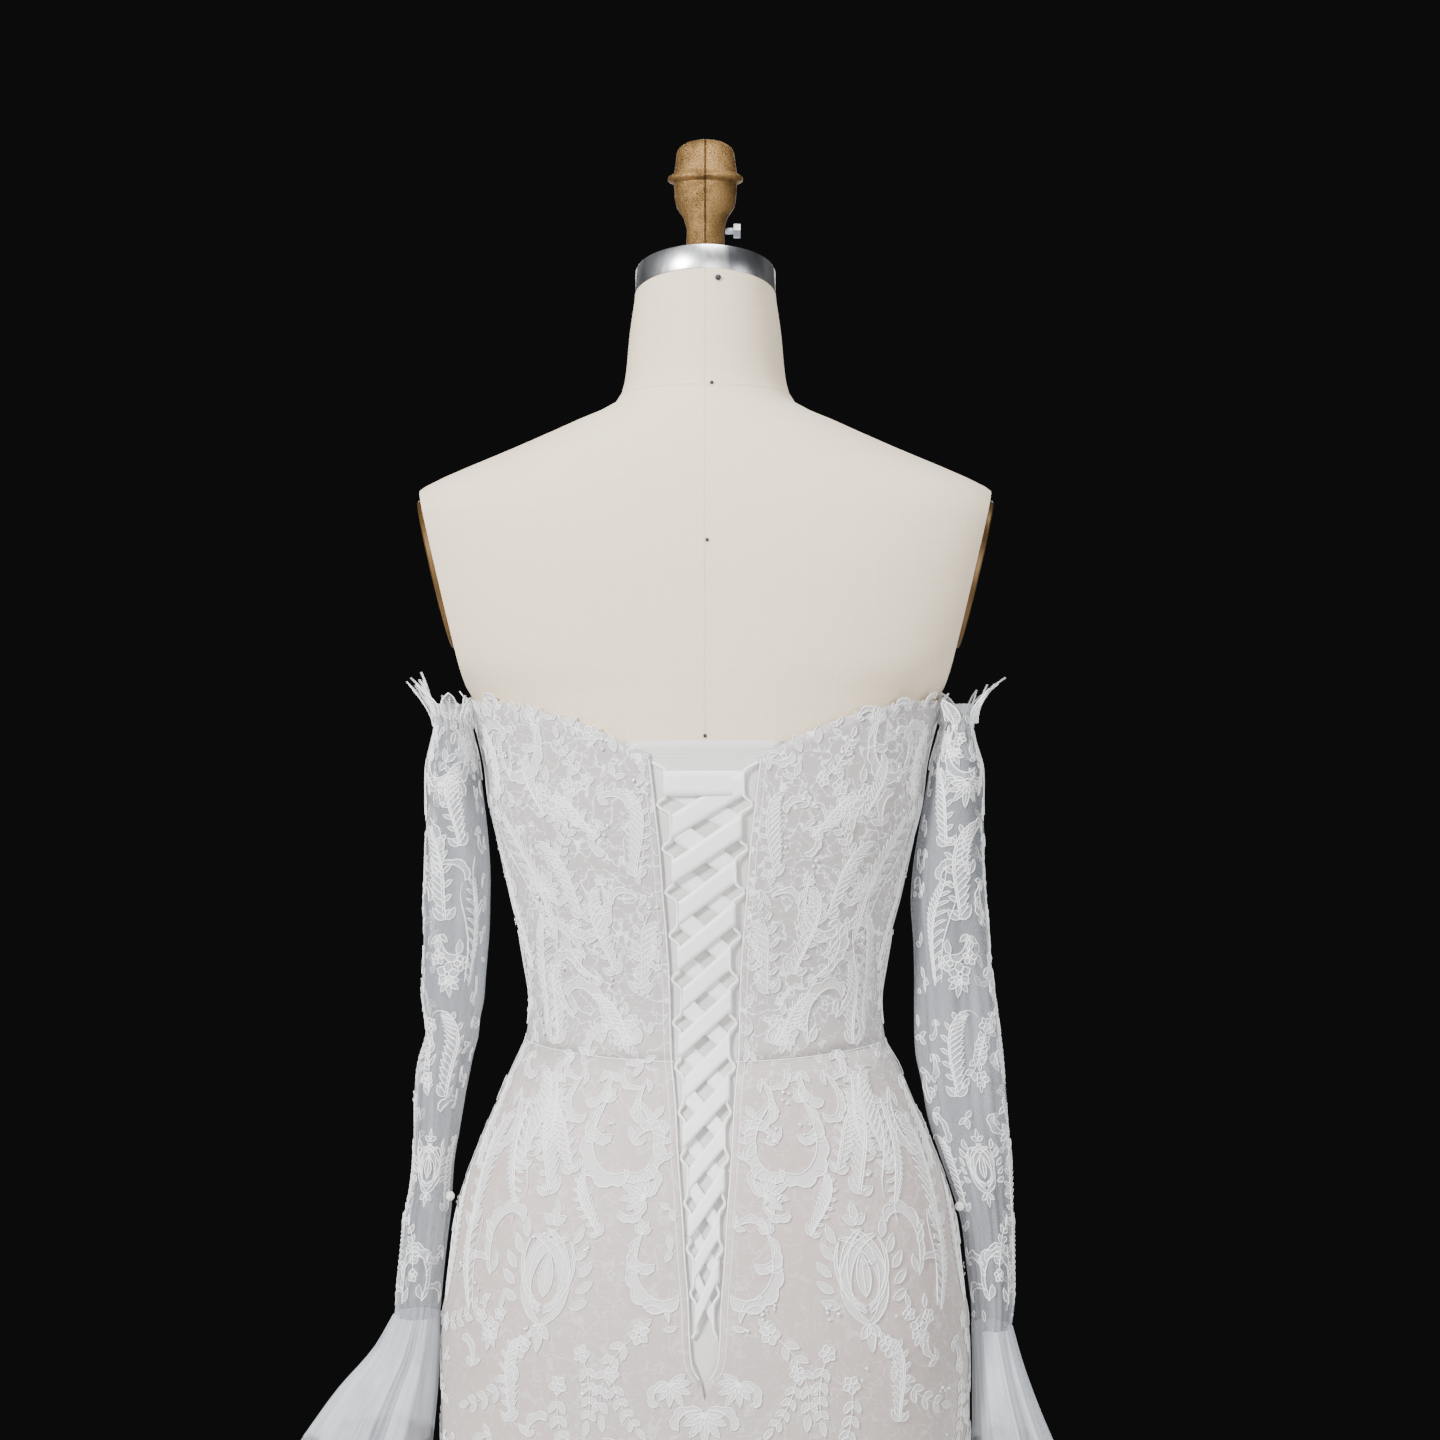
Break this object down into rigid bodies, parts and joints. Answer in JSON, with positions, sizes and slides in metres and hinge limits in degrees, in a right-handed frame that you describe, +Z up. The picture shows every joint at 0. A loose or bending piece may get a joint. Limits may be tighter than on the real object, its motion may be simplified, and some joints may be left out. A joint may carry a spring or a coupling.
{
  "type": "mermaid gown on dress form",
  "caption": "Floor-length lace mermaid gown with ribbon-laced open back and separate sheer flounced sleeves, standing on a limbless dress form with neck cap, finial, pole and round base.",
  "frame": {"origin": "middle of the stand base's underside, on the floor", "axes": "+Z up, the gown's laced back faces -Y, the wearer's left is -X"},
  "size_m": [0.7978, 0.7916, 1.699],
  "materials": {
    "lace": "matte corded lace over blush lining",
    "tulle": "sheer net",
    "satin_ribbon": "matte satin",
    "satin_panel": "matte satin",
    "form_linen": "plain jersey cover",
    "steel": "brushed",
    "gold_paint": "antique gold paint",
    "armhole_brown": "dark brown gloss",
    "stand_black": "satin black",
    "pearl": "pearl"
  },
  "bodies": {
    "root": {"armhole_plate_left": "armhole_brown", "armhole_plate_right": "armhole_brown", "bodice_back_left": "lace", "bodice_back_right": "lace", "bodice_front": "lace", "bodice_side_back_left": "lace", "bodice_side_back_right": "lace", "bodice_side_front_left": "lace", "bodice_side_front_right": "lace", "cuff_ruffle_left": "tulle", "cuff_ruffle_right": "tulle", "finial": "gold_paint", "form_torso": "form_linen", "lacing_ribbon": "satin_ribbon", "loop_cord_left": "satin_ribbon", "loop_cord_right": "satin_ribbon", "modesty_panel": "satin_panel", "neck_cap": "steel", "neckline_lace_back_left": "lace", "neckline_lace_back_right": "lace", "neckline_lace_front": "lace", "neckline_lace_side_left": "lace", "neckline_lace_side_right": "lace", "pearl_button_left": "pearl", "pearl_button_right": "pearl", "set_screw": "steel", "skirt_back_left": "lace", "skirt_back_right": "lace", "skirt_front": "lace", "skirt_side_back_left": "lace", "skirt_side_back_right": "lace", "skirt_side_front_left": "lace", "skirt_side_front_right": "lace", "sleeve_crown_left": "lace", "sleeve_crown_right": "lace", "sleeve_left": "tulle", "sleeve_right": "tulle", "stand_base": "stand_black", "stand_pole": "stand_black"}
  },
  "joints": []
}
